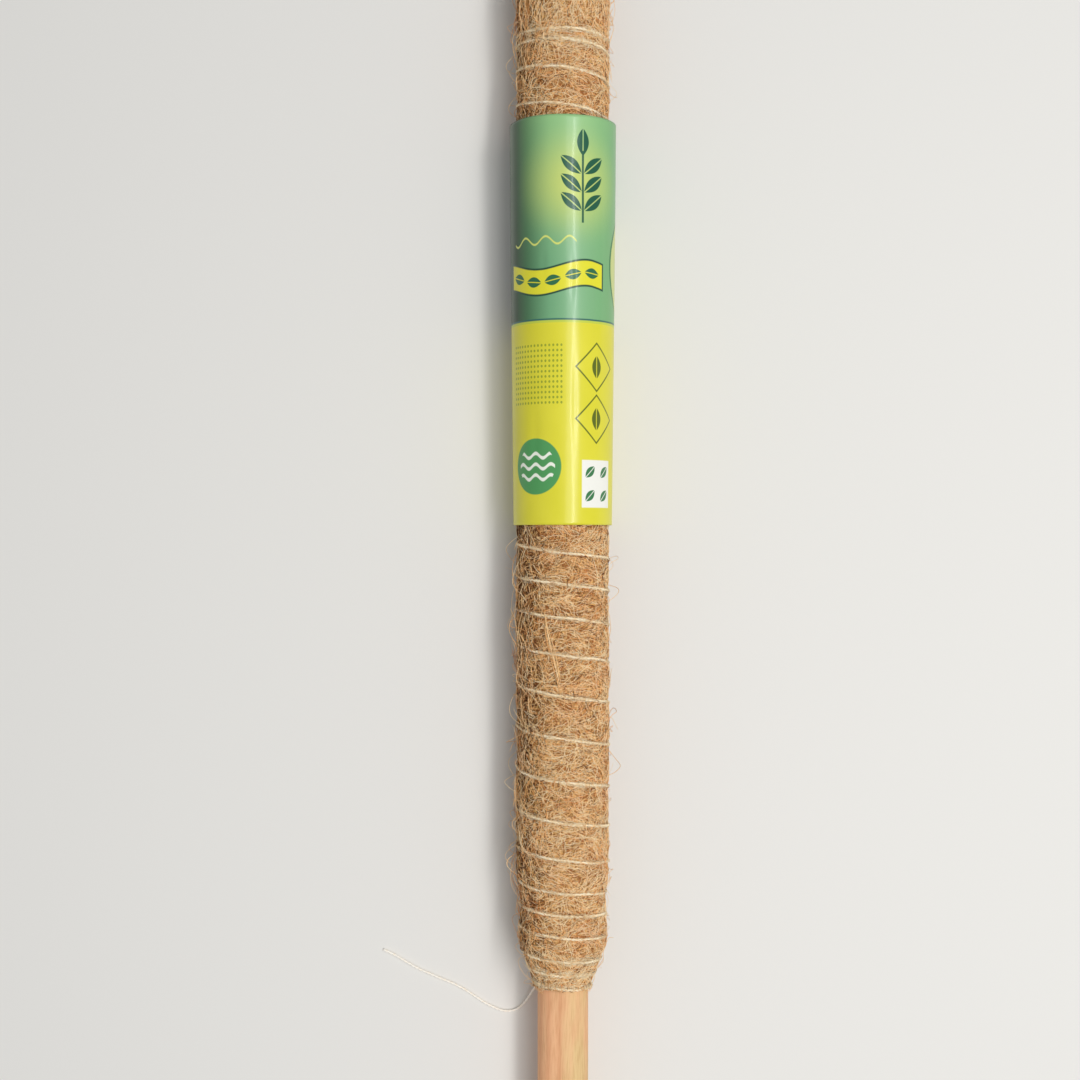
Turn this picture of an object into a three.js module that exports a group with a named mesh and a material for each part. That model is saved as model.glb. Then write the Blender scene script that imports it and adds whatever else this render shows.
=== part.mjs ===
// Moss pole: a round wooden stake padded and wrapped with coir, lashed with one length of twine,
// with a loose paper sleeve round its upper half.
// Millimetres. The pole lies on the floor, z = 0, along Y: bare foot at -Y, top end at +Y.

import * as THREE from "three";

// Stake
const POLE_LENGTH = 600;
const STAKE_DIAMETER = 24;
const STAKE_CHAMFER = 2;
const BARE_FOOT_LENGTH = 110;

// Coir: an inner padding wrap, and an outer mat that is gathered onto the stake at its lower end
const MAT_DIAMETER = 42.2;
const MAT_WALL = 4.5;
const WAIST_DIAMETER = 39.4;
const SHOULDER_DIAMETER = 40.2;
const NECK_WALL = 0.9;
const NECK_LENGTH = 4;
const GATHER_LENGTH = 16.5; // from the shoulder's corner in to the neck
const SHOULDER_ROUND = 3.5; // length of the rounded corner above the gather
const SHOULDER_ROUND_DROP = 0.5; // how far that corner comes in from the shoulder's radius
const WAIST_TO_CORNER = 23.5;
const WAIST_FLARE_LENGTH = 13; // from the waist up to the full girth
const FOLD_THICKNESS = 2; // coir between the end of the padding and the neck of the mat
const PADDING_INSET = 1.5; // padding stops short of the mat's cut top edge

// Twine: two turns at the top, an open helix down the mat, then turns on the shoulder and neck
const TWINE_DIAMETER = 1.2;
const TOP_TIE_INSET = 40.4; // from the top end to the first turn
const TOP_TIE_TURNS = 2;
const TOP_TIE_PITCH = 4.7;
const LASHING_INSET = 58.2;
const LASHING_TURNS = 23;
const LASHING_FOOT_RISE = 51.8; // last turn of the helix above the mat's lower edge
const EVEN_TURNS = 13; // the turns under the sleeve are even, those below it wander
const WANDER = 4.5;
const WANDER_PERIOD = 10; // turns
const SHOULDER_TIE_RISE = 38.9;
const SHOULDER_TIE_TURNS = 2;
const SHOULDER_TIE_PITCH = 10.2;
const NECK_TIE_RISE = 17;
const NECK_TIE_TURNS = 3;
const NECK_TIE_PITCH = 6.9;
const KNOT_DIAMETER = 3;
const KNOT_LENGTH = 4.5;
const KNOT_FACE_DIAMETER = 2;

// Paper sleeve: snug at its lower edge, wider at its upper edge, closed by a lengthwise lap
const SLEEVE_LENGTH = 188.5;
const SLEEVE_INSET = 81.5; // from the top end to the sleeve's upper edge
const SLEEVE_FLARE = 1.8; // radius gained from the lower edge to the upper edge
const PAPER_THICKNESS = 0.3;
const LAP_SIDES = 2; // facets of the sleeve that the outer flap covers
const LAP_RAMP_SIDES = 2; // facets over which the sheet climbs onto its own start
const LAP_START_FACET = 8; // counted from the top line of the pole

// Clearances
const COIR_GAP = 0.3; // between the stake, the padding and the mat
const TWINE_GAP = 0.3; // twine to mat, and where two lengths meet end to end
const SLEEVE_GAP = 0.3; // paper to twine at the snug end, and between the lap's flaps

// Facets
const STAKE_SIDES = 32;
const COIR_SIDES = 48;
const TURN_STEPS = 24;
const TWINE_SIDES = 6;
const TAIL_SIDES = 8;
const TAIL_STEPS = 38;
const KNOT_SIDES = 12;
const SLEEVE_SIDES = 24;

// Free end of the twine, from the knot under the stake out over the floor
const TAIL_POINTS = [
  [-5.0, -190.2, 8.4], [-8.2, -190.6, 8.2], [-11.2, -192.2, 7.4], [-13.7, -195.0, 5.8],
  [-15.7, -198.4, 3.8], [-17.9, -202.0, 2.0], [-20.6, -205.0, 1.0], [-24.0, -206.8, 0.7],
  [-28.4, -207.0, 0.7], [-33.2, -205.4, 0.7], [-38.0, -202.9, 0.7], [-42.9, -199.7, 0.7],
  [-47.5, -196.7, 0.7], [-53.4, -193.6, 0.7], [-59.3, -191.2, 0.7], [-65.1, -188.7, 0.7],
  [-71.8, -185.6, 0.7], [-77.1, -182.5, 0.7], [-82.6, -179.3, 0.7], [-87.3, -177.2, 0.7],
];

// Levels along the pole
const topY = POLE_LENGTH / 2;
const footY = -POLE_LENGTH / 2;
const matFootY = footY + BARE_FOOT_LENGTH;
const neckY = matFootY + NECK_LENGTH;
const cornerY = neckY + GATHER_LENGTH;
const shoulderY = cornerY + SHOULDER_ROUND;
const waistY = cornerY + WAIST_TO_CORNER;
const fullGirthY = waistY + WAIST_FLARE_LENGTH;

// Radii about the pole's axis
const stakeRadius = STAKE_DIAMETER / 2;
const coirBoreRadius = stakeRadius + COIR_GAP;
const matRadius = MAT_DIAMETER / 2;
const matBoreRadius = matRadius - MAT_WALL;
const paddingRadius = matBoreRadius - COIR_GAP;
const neckRadius = coirBoreRadius + NECK_WALL;
const shoulderRadius = SHOULDER_DIAMETER / 2;
const twineRadius = TWINE_DIAMETER / 2;

// The mat's outer line, from its lower edge to its top edge
const matOutline = [
  [neckRadius, matFootY],
  [neckRadius, neckY],
  [shoulderRadius - SHOULDER_ROUND_DROP, cornerY],
  [shoulderRadius, shoulderY],
  [WAIST_DIAMETER / 2, waistY],
  [matRadius, fullGirthY],
  [matRadius, topY],
].map(([r, y]) => new THREE.Vector2(r, y));

function matRadiusAt(y) {
  const upper = matOutline.findIndex((point) => point.y > y);
  if (upper < 0) return matRadius;
  if (upper === 0) return neckRadius;
  const [a, b] = [matOutline[upper - 1], matOutline[upper]];
  return THREE.MathUtils.mapLinear(y, a.y, b.y, a.x, b.x);
}

// Heights along the pole where the twine crosses the top line, from the top end down
function turnLevels() {
  const lashingTopY = topY - LASHING_INSET;
  const lashingPitch = (lashingTopY - matFootY - LASHING_FOOT_RISE) / (LASHING_TURNS - 1);
  const levels = [];
  for (let turn = 0; turn < TOP_TIE_TURNS; turn++) {
    levels.push(topY - TOP_TIE_INSET - turn * TOP_TIE_PITCH);
  }
  for (let turn = 0; turn < LASHING_TURNS; turn++) {
    const uneven = Math.max(0, turn - EVEN_TURNS);
    const wander = WANDER * Math.sin((2 * Math.PI * uneven) / WANDER_PERIOD);
    levels.push(lashingTopY - turn * lashingPitch + wander);
  }
  for (let turn = 0; turn < SHOULDER_TIE_TURNS; turn++) {
    levels.push(matFootY + SHOULDER_TIE_RISE - turn * SHOULDER_TIE_PITCH);
  }
  for (let turn = 0; turn < NECK_TIE_TURNS; turn++) {
    levels.push(matFootY + NECK_TIE_RISE - turn * NECK_TIE_PITCH);
  }
  return levels;
}

const levels = turnLevels();

// A turn is counted from the top line, over +X, under the pole and back up over -X.
function twineLevel(turns) {
  const upper = THREE.MathUtils.clamp(Math.floor(turns), 0, levels.length - 2);
  return THREE.MathUtils.lerp(levels[upper], levels[upper + 1], turns - upper);
}

// Corners of the wound twine lie half a step off the top line, so that a flat of each turn faces down.
const stepCosine = Math.cos(Math.PI / TURN_STEPS);

function twineCorner(step) {
  const turns = (step + 0.5) / TURN_STEPS;
  const y = twineLevel(turns);
  const r = (matRadiusAt(y) + TWINE_GAP + twineRadius) / stepCosine;
  const angle = 2 * Math.PI * turns;
  return new THREE.Vector3(r * Math.sin(angle), y, r * Math.cos(angle));
}

// The route of one winding, from the bottom of one turn to the bottom of a later one. Both ends stop in the
// middle of a flat, square to it, half a gap short of the next length of twine.
function windingRoute(firstTurn, turnCount) {
  const firstStep = (firstTurn - 0.5) * TURN_STEPS;
  const lastStep = firstStep + turnCount * TURN_STEPS - 1;
  const route = [];
  for (let step = firstStep; step <= lastStep; step++) route.push(twineCorner(step));
  const middleOfFlat = (step) => twineCorner(step).lerp(twineCorner(step + 1), 0.5);
  const shortOf = (end, inner) => end.add(inner.clone().sub(end).setLength(TWINE_GAP / 2));
  route.unshift(shortOf(middleOfFlat(firstStep - 1), route[0]));
  route.push(shortOf(middleOfFlat(lastStep), route.at(-1)));
  return route;
}

// The least distance between the surfaces of turns that pass each other, at the route's points
function leastGap(route) {
  let least = Infinity;
  for (let i = 0; i < route.length; i++) {
    for (let j = i + TURN_STEPS / 2; j < route.length; j++) {
      least = Math.min(least, route[i].distanceTo(route[j]) - TWINE_DIAMETER);
    }
  }
  return least;
}

// One unbroken tube round the pole: a straight cylinder with its rings carried along the route
function windingGeometry(route) {
  const lastRing = route.length - 1;
  const geometry = new THREE.CylinderGeometry(twineRadius, twineRadius, 1, TWINE_SIDES, lastRing);
  const rings = route.map((centre, ring) => {
    const ahead = route[Math.min(ring + 1, lastRing)];
    const behind = route[Math.max(ring - 1, 0)];
    const along = ahead.clone().sub(behind).normalize();
    const out = new THREE.Vector3(centre.x, 0, centre.z).projectOnPlane(along).normalize();
    return { centre, out, across: out.clone().cross(along) };
  });
  const vertices = geometry.attributes.position;
  for (let i = 0; i < vertices.count; i++) {
    const { centre, out, across } = rings[Math.round((vertices.getY(i) + 0.5) * lastRing)];
    const place = centre.clone();
    place.addScaledVector(out, vertices.getX(i)).addScaledVector(across, vertices.getZ(i));
    vertices.setXYZ(i, place.x, place.y, place.z);
  }
  geometry.computeVertexNormals();
  return geometry;
}

const sleeveSideCosine = Math.cos(Math.PI / SLEEVE_SIDES);
const wrappedRadius = (matRadius + TWINE_GAP + twineRadius) / stepCosine + twineRadius;
const sleeveBoreRadius = wrappedRadius + SLEEVE_GAP; // to the middle of a facet, at the lower edge
const axisHeight = sleeveBoreRadius + PAPER_THICKNESS; // the sleeve's bottom line lies on the floor

const wood = new THREE.MeshStandardMaterial({ color: 0xd9ab7c, roughness: 0.65, metalness: 0 });
const coir = new THREE.MeshStandardMaterial({ color: 0xb5814f, roughness: 0.95, metalness: 0 });
const looseCoir = new THREE.MeshStandardMaterial({ color: 0x8a5c35, roughness: 0.95, metalness: 0 });
const twine = new THREE.MeshStandardMaterial({ color: 0xdcbd92, roughness: 0.9, metalness: 0 });
const printedPaper = new THREE.MeshStandardMaterial({ color: 0x3f8f4f, roughness: 0.4, metalness: 0 });

function pieceOf(name, geometry, material) {
  const mesh = new THREE.Mesh(geometry, material);
  mesh.name = name;
  return mesh;
}

function woodenStake() {
  const eased = stakeRadius - STAKE_CHAMFER;
  const outline = [
    new THREE.Vector2(0, footY),
    new THREE.Vector2(eased, footY),
    new THREE.Vector2(stakeRadius, footY + STAKE_CHAMFER),
    new THREE.Vector2(stakeRadius, topY - STAKE_CHAMFER),
    new THREE.Vector2(eased, topY),
    new THREE.Vector2(0, topY),
  ];
  return pieceOf("wooden_stake", new THREE.LatheGeometry(outline, STAKE_SIDES), wood);
}

// The padding ends at the shoulder, above the fold where the mat turns in to the stake.
function coirPadding() {
  const paddingTopY = topY - PADDING_INSET;
  const outline = [
    new THREE.Vector2(coirBoreRadius, shoulderY),
    new THREE.Vector2(paddingRadius, shoulderY),
    new THREE.Vector2(paddingRadius, paddingTopY),
    new THREE.Vector2(coirBoreRadius, paddingTopY),
    new THREE.Vector2(coirBoreRadius, shoulderY),
  ];
  return pieceOf("coir_padding", new THREE.LatheGeometry(outline, COIR_SIDES), looseCoir);
}

function coirMat() {
  const bore = [
    new THREE.Vector2(matBoreRadius, topY),
    new THREE.Vector2(matBoreRadius, shoulderY - COIR_GAP),
    new THREE.Vector2(coirBoreRadius, neckY + FOLD_THICKNESS),
    new THREE.Vector2(coirBoreRadius, matFootY),
  ];
  const outline = [...matOutline, ...bore, matOutline[0]];
  return pieceOf("coir_mat", new THREE.LatheGeometry(outline, COIR_SIDES), coir);
}

function winding(name, firstTurn, turnCount) {
  const route = windingRoute(firstTurn, turnCount);
  console.log(`${name}: least gap to itself ${leastGap(route).toFixed(2)} mm`);
  return pieceOf(name, windingGeometry(route), twine);
}

// The knot lies against the neck of the mat, under the pole, where the last turn ends.
function footKnot() {
  const lastTurn = levels.length - 0.5;
  const bulge = KNOT_DIAMETER / 2;
  const face = KNOT_FACE_DIAMETER / 2;
  const half = KNOT_LENGTH / 2;
  const outline = [
    new THREE.Vector2(0, -half),
    new THREE.Vector2(face, -half),
    new THREE.Vector2(bulge, -half / 2),
    new THREE.Vector2(bulge, half / 2),
    new THREE.Vector2(face, half),
    new THREE.Vector2(0, half),
  ];
  const knot = pieceOf("foot_knot", new THREE.LatheGeometry(outline, KNOT_SIDES), twine);
  knot.rotation.z = Math.PI / 2;
  knot.position.set(
    -half - TWINE_GAP / 2,
    twineLevel(lastTurn),
    -(neckRadius + TWINE_GAP + bulge),
  );
  return knot;
}

function twineTail() {
  const route = new THREE.CatmullRomCurve3(TAIL_POINTS.map((point) => new THREE.Vector3(...point)));
  const section = new THREE.Shape();
  for (let side = 0; side < TAIL_SIDES; side++) {
    const angle = (2 * Math.PI * side) / TAIL_SIDES;
    const corner = [twineRadius * Math.cos(angle), twineRadius * Math.sin(angle)];
    if (side === 0) section.moveTo(...corner);
    else section.lineTo(...corner);
  }
  const sweep = { steps: TAIL_STEPS, extrudePath: route, bevelEnabled: false };
  return pieceOf("twine_tail", new THREE.ExtrudeGeometry(section, sweep), twine);
}

// A flat sheet bent round the pole. It starts under its own lap, goes once round and climbs over its start.
function labelSleeve() {
  const facets = SLEEVE_SIDES + LAP_SIDES;
  const facetAngle = (2 * Math.PI) / SLEEVE_SIDES;
  const upperY = topY - SLEEVE_INSET;
  const lapRise = PAPER_THICKNESS + SLEEVE_GAP;
  const geometry = new THREE.BoxGeometry(1, 1, 1, facets, 1, 1);
  const vertices = geometry.attributes.position;
  for (let i = 0; i < vertices.count; i++) {
    const facet = Math.round((vertices.getX(i) + 0.5) * facets);
    const flare = SLEEVE_FLARE * (vertices.getY(i) + 0.5);
    const layer = PAPER_THICKNESS * (vertices.getZ(i) + 0.5);
    const climb = (facet - SLEEVE_SIDES + LAP_RAMP_SIDES) / LAP_RAMP_SIDES;
    const rise = lapRise * THREE.MathUtils.clamp(climb, 0, 1);
    const r = (sleeveBoreRadius + flare + layer) / sleeveSideCosine + rise;
    const angle = facetAngle * (LAP_START_FACET + 0.5 + facet);
    const y = upperY + SLEEVE_LENGTH * (vertices.getY(i) - 0.5);
    vertices.setXYZ(i, r * Math.sin(angle), y, flare + r * Math.cos(angle));
  }
  geometry.computeVertexNormals();
  return pieceOf("label_sleeve", geometry, printedPaper);
}

const pole = new THREE.Group();
pole.position.z = axisHeight;
pole.add(woodenStake(), coirPadding(), coirMat());
pole.add(winding("twine_top_tie", 0, TOP_TIE_TURNS));
pole.add(winding("twine_lashing", TOP_TIE_TURNS, LASHING_TURNS));
pole.add(winding("twine_foot_tie", TOP_TIE_TURNS + LASHING_TURNS, SHOULDER_TIE_TURNS + NECK_TIE_TURNS));
pole.add(footKnot(), labelSleeve());

const mossPole = new THREE.Group();
mossPole.add(pole, twineTail());

export default mossPole;
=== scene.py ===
import math

import bpy
import numpy as np
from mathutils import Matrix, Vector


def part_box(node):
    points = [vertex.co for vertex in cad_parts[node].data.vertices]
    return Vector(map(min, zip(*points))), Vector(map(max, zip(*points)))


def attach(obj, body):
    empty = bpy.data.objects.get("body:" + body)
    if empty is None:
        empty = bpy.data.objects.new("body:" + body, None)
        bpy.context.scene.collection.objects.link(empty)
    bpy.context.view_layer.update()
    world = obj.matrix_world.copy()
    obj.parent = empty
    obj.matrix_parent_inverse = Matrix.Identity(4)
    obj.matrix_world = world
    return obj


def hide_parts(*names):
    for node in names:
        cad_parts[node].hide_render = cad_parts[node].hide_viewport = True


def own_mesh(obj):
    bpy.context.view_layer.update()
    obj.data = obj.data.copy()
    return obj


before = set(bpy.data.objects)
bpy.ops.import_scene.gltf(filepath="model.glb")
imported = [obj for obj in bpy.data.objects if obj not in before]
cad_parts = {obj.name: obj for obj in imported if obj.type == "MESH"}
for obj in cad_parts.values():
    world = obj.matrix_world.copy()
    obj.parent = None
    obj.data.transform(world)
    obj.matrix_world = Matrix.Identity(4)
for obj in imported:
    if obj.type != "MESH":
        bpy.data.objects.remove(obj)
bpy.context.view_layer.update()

# Camera: it hangs straight over the pole, a little to the left of it, and looks down with the pole's top
# end at the top of the picture. Both ends of the pole lie outside the picture.
CAMERA_RISE = 0.780  # above the pole's axis
CAMERA_X, CAMERA_Y = -0.0108, 0.023
PICTURE_SPAN = 0.513  # width of the picture at the height of the axis
stake_low, stake_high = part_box("wooden_stake")
axis_z = (stake_low.z + stake_high.z) / 2


def new_object(name, data):
    made = bpy.data.objects.new(name, data)
    bpy.context.scene.collection.objects.link(made)
    return made


camera_data = bpy.data.cameras.new("overhead_camera")
camera_data.lens = camera_data.sensor_width * CAMERA_RISE / PICTURE_SPAN
camera = new_object("overhead_camera", camera_data)
camera.location = (CAMERA_X, CAMERA_Y, axis_z + CAMERA_RISE)
bpy.context.scene.camera = camera
bpy.context.scene.view_settings.view_transform = "Standard"

# Twine tail: the free end of the twine, two plies of pale plant fibre twisted together. It comes out of the
# knot under the stake, drops to the floor and lies there in a loose curve, cut off bare. It is whiter than
# the
# twine on the pole: painted light.
TWINE_DIAMETER = 0.0012
PLY_RADIUS = 0.00036
TWIST_LENGTH = 0.0042  # one full turn of the two plies
TWINE_STEP = 0.0006  # between the rings of a ply
PLY_SIDES = 6
CELL_MARGIN = 0.1  # round a tube's cell in the UV map, as a share of the cell
FINE_RELIEF = 0.0002
TAIL_PAINTED_LIGHT_TONES = (0.9, 1.0)
TAIL_POINTS = [
    (-0.0050, -0.1902, 0.0084), (-0.0082, -0.1906, 0.0082), (-0.0112, -0.1922, 0.0074),
    (-0.0137, -0.1950, 0.0058), (-0.0157, -0.1984, 0.0038), (-0.0179, -0.2020, 0.0020),
    (-0.0206, -0.2050, 0.0010), (-0.0240, -0.2068, 0.0007), (-0.0284, -0.2070, 0.0007),
    (-0.0332, -0.2054, 0.0007), (-0.0380, -0.2029, 0.0007), (-0.0429, -0.1997, 0.0007),
    (-0.0475, -0.1967, 0.0007), (-0.0534, -0.1936, 0.0007), (-0.0593, -0.1912, 0.0007),
    (-0.0651, -0.1887, 0.0007), (-0.0718, -0.1856, 0.0007), (-0.0771, -0.1825, 0.0007),
    (-0.0826, -0.1793, 0.0007), (-0.0873, -0.1772, 0.0007),
]


def smooth_route(points, step):
    """A smooth line through the points, with a point about every step."""
    points = np.array(points)
    ends = 2 * points[[0, -1]] - points[[1, -2]]
    held = np.vstack([ends[:1], points, ends[1:]])
    spans = []
    for a, b, c, d in zip(held, held[1:], held[2:], held[3:]):
        t = np.linspace(0, 1, max(2, round(np.linalg.norm(c - b) / step)), endpoint=False)[:, None]
        square, cube = (2 * a - 5 * b + 4 * c - d) * t**2, (3 * b - a - 3 * c + d) * t**3
        spans.append(b + ((c - a) * t + square + cube) / 2)
    return np.vstack([*spans, points[-1:]])


def unit(vectors):
    return vectors / np.maximum(np.linalg.norm(vectors, axis=-1, keepdims=True), 1e-12)


def carried_frames(paths):
    """Two directions square to each path, carried along it without twist."""
    along = unit(np.gradient(paths, axis=1))
    helper = np.where(np.abs(along[:, 0, 2:]) < 0.8, [[0, 0, 1.0]], [[1.0, 0, 0]])
    out = np.empty_like(paths)
    out[:, 0] = unit(np.cross(along[:, 0], helper))
    for k in range(1, paths.shape[1]):
        last, now = out[:, k - 1], along[:, k]
        out[:, k] = unit(last - now * (last * now).sum(-1, keepdims=True))
    return out, np.cross(along, out)


def tube_object(name, rings, material, tone=None, closed=False):
    """One mesh of closed tubes. rings holds the places of (tubes, rings, sides) points. The last ring of a
    closed tube joins its first, and other tubes are capped. Each tube has its own cell in the UV map."""
    tubes, count, sides, _ = rings.shape
    spans = count if closed else count - 1
    corner = np.arange(tubes * count * sides).reshape(tubes, count, sides)
    near, far = corner[:, :spans], np.roll(corner, -1, axis=1)[:, :spans]
    quads = np.stack([near, np.roll(near, -1, 2), np.roll(far, -1, 2), far], -1).reshape(-1)
    caps = np.stack([corner[:, 0, ::-1], corner[:, -1]], 1).reshape(-1)[: 0 if closed else None]
    starts = np.concatenate([np.arange(0, len(quads), 4), len(quads) + np.arange(0, len(caps), sides)])
    mesh = bpy.data.meshes.new(name)
    mesh.vertices.add(corner.size)
    mesh.vertices.foreach_set("co", rings.astype(np.float32).ravel())
    mesh.loops.add(len(quads) + len(caps))
    mesh.loops.foreach_set("vertex_index", np.concatenate([quads, caps]).astype(np.int32))
    mesh.polygons.add(len(starts))
    mesh.polygons.foreach_set("loop_start", starts.astype(np.int32))
    mesh.update(calc_edges=True)
    mesh.shade_smooth()
    columns = math.ceil(math.sqrt(tubes))
    cell = np.stack(np.divmod(np.arange(tubes), columns)[::-1], -1)
    side, ring = np.arange(sides)[None, :, None], np.arange(spans)[:, None, None]
    across = (side + np.array([0, 1, 1, 0])) / sides + 0 * ring
    lengthwise = (ring + np.array([0, 0, 1, 1])) / spans + 0 * side
    quad_uv = np.stack([across, lengthwise], -1).reshape(1, -1, 2)
    cap_uv = np.stack([np.tile(np.arange(sides) / sides, 2), np.repeat([0.0, 1.0], sides)], -1)
    kinds = [quad_uv] if closed else [quad_uv, cap_uv[None]]
    inset = [cell[:, None] + CELL_MARGIN + (1 - 2 * CELL_MARGIN) * kind for kind in kinds]
    places = [(place / columns).reshape(-1, 2) for place in inset]
    layer = mesh.uv_layers.new(name="OFBake")
    layer.uv.foreach_set("vector", np.vstack(places).astype(np.float32).ravel())
    if tone is not None:
        shade = mesh.attributes.new("tone", "FLOAT", "POINT")
        shade.data.foreach_set("value", np.repeat(tone, count * sides).astype(np.float32))
    mesh.materials.append(material)
    return new_object(name, mesh)


def strand_rings(paths, radius, sides):
    """Rings of points round each path; radius is one value, or one for each point of each path."""
    out, across = carried_frames(paths)
    angle = 2 * np.pi * np.arange(sides)[:, None] / sides
    ring = out[:, :, None] * np.cos(angle) + across[:, :, None] * np.sin(angle)
    thick = np.broadcast_to(radius, paths.shape[:2])[:, :, None, None]
    return paths[:, :, None] + ring * thick


def twisted_plies(route):
    """The two plies that twist about a route, as paths."""
    out, across = (side[0] for side in carried_frames(route[None]))
    travelled = np.concatenate([[0], np.cumsum(np.linalg.norm(np.diff(route, axis=0), axis=1))])
    turn = 2 * np.pi * travelled[:, None] / TWIST_LENGTH
    reach = TWINE_DIAMETER / 2 - PLY_RADIUS
    side_tint_and_light = [reach * (out * np.cos(turn + p) + across * np.sin(turn + p)) for p in (0, np.pi)]
    return np.stack([route + side for side in side_tint_and_light])


def twine_object(name, routes, material, ply_tones):
    """Twine along routes with equally many points, with a tone for each of its plies."""
    plies = np.concatenate([twisted_plies(route) for route in routes])
    return tube_object(name, strand_rings(plies, PLY_RADIUS, PLY_SIDES), material, np.array(ply_tones))


def linear(colour):
    """The linear values of a colour given as it looks, such as #c8965f."""
    seen = [int(colour[i : i + 2], 16) / 255 for i in (1, 3, 5)]
    return (*[c / 12.92 if c <= 0.04045 else ((c + 0.055) / 1.055) ** 2.4 for c in seen], 1.0)


def feed(tree, made, inputs):
    """Gives a shader node its inputs. Each is a plain value, or the socket that it is linked from."""
    for key, value in inputs.items():
        if isinstance(value, bpy.types.NodeSocket):
            tree.links.new(value, made.inputs[key])
        else:
            made.inputs[key].default_value = value


def node(tree, kind, inputs=None, **settings):
    made = tree.nodes.new("ShaderNode" + kind)
    for key, value in settings.items():
        setattr(made, key, value)
    feed(tree, made, inputs or {})
    return made


def ramp(tree, factor, *stops):
    """A colour ramp with (position, colour) stops, as a socket."""
    made = node(tree, "ValToRGB", {"Fac": factor})
    for position, colour in stops[2:]:
        made.color_ramp.elements.new(position)
    for element, (position, colour) in zip(made.color_ramp.elements, stops):
        element.position, element.color = position, linear(colour)
    return made.outputs["Color"]


def noise(tree, place, scale, detail, **more):
    """A cloudy noise over the surface, from 0 to 1."""
    settings = {"Vector": place, "Scale": scale, "Detail": detail, **more}
    return node(tree, "TexNoise", settings).outputs["Fac"]


def ranged(tree, value, low, high, at_low=0.0, at_high=1.0, **settings):
    """A value that goes from at_low to at_high while another one goes from low to high."""
    ends = {"Value": value, "From Min": low, "From Max": high, "To Min": at_low, "To Max": at_high}
    return node(tree, "MapRange", ends, **settings).outputs["Result"]


def calc(tree, operation, a, b=0.0, **settings):
    return node(tree, "Math", {0: a, 1: b}, operation=operation, **settings).outputs["Value"]


def blend(tree, share, under, upper, **settings):
    """Two colours mixed, by the share that the upper one has."""
    mix = {"Fac": share, "Color1": under, "Color2": upper}
    return node(tree, "MixRGB", mix, **settings).outputs["Color"]


def relief(tree, height, strength, distance):
    """The normal of a surface with fine relief."""
    bump = {"Height": height, "Strength": strength, "Distance": distance}
    return node(tree, "Bump", bump).outputs["Normal"]


def new_material(name):
    material = bpy.data.materials.new(name)
    material.use_nodes = True
    return material, material.node_tree


def shaded(material, inputs):
    """The material, with these inputs given to its shader."""
    feed(material.node_tree, material.node_tree.nodes["Principled BSDF"], inputs)
    return material


def strand_material(name, *shades, roughness, bump, gloss=0.25, mottled=0.42, blush=0.0):
    """Plant fibre. The tone of each strand comes with its mesh, and a noise breaks it up along the strand.
    blush is how strongly patches of it turn reddish."""
    material, tree = new_material(name)
    tone = node(tree, "Attribute", attribute_name="tone").outputs["Fac"]
    place = node(tree, "TexCoord").outputs["Object"]
    mottle = ranged(tree, noise(tree, place, 900, 2), 0.3, 0.7, -mottled, mottled)
    colour = ramp(tree, calc(tree, "ADD", tone, mottle, use_clamp=True), *shades)
    if blush:
        patches = ranged(tree, noise(tree, place, 58, 3), 0.48, 0.66, 0.0, blush)
        colour = blend(tree, patches, colour, linear("#f0b796"), blend_type="MULTIPLY")
    normal = relief(tree, noise(tree, place, 2600, 2), bump, FINE_RELIEF)
    looks = {"Base Color": colour, "Roughness": roughness, "Specular IOR Level": gloss, "Normal": normal}
    return shaded(material, looks)


twine_material = strand_material(
    "pale_twine", (0.0, "#bc9365"), (0.45, "#f8d9a6"), (1.0, "#fff1d3"), roughness=0.8, bump=0.5
)
# The tail's material is a whiter copy of the twine's, with higher tones: painted light.
painted_lit_twine_material = strand_material(
    "painted_lit_twine", (0.0, "#d8c4a4"), (0.5, "#fdf1dd"), (1.0, "#fffaf0"), roughness=0.8, bump=0.5
)
tail_route = smooth_route(TAIL_POINTS, TWINE_STEP)
tail = twine_object("tail_twine", [tail_route], painted_lit_twine_material, TAIL_PAINTED_LIGHT_TONES)
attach(tail, "pole")
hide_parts("twine_tail")

# Wooden stake: one turned round stick of bare softwood, full length, with sawn ends and eased edges. The
# coir is wrapped straight onto it, and its lower end stays bare to go into the soil.
STAKE_RADIUS = (stake_high.x - stake_low.x) / 2
STAKE_EASE = 0.002
EASE_STEPS = 5
STAKE_SIDES = 96
STAKE_ROWS = 240
PLAIN_FROM = 0.01  # from an end to the first row of the plain round
TURNED_UNDER = 0.0001
OUT_OF_ROUND = [(0.00010, 2, 9, 0), (0.00006, 5, -31, 0)]  # height, rates round the stake and along, phase


def around(r, angle, y):
    """Places at a radius from the pole's axis; angle 0 is the top line, and a quarter turn is at +X."""
    r, angle, y = np.broadcast_arrays(r, angle, y)
    return np.stack([r * np.sin(angle), y, axis_z + r * np.cos(angle)], -1)


def vector(tree, operation, a, b=(0, 0, 0)):
    """Two vectors worked into one, or their distance as a value."""
    made = node(tree, "VectorMath", {0: a, 1: b}, operation=operation)
    return made.outputs["Value" if operation == "DISTANCE" else "Vector"]


def ripples(waves, a, b):
    """The sum of waves over two measures. Each wave has a height, a rate over each measure and a phase."""
    return sum(height * np.sin(rate_a * a + rate_b * b + phase) for height, rate_a, rate_b, phase in waves)


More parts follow.
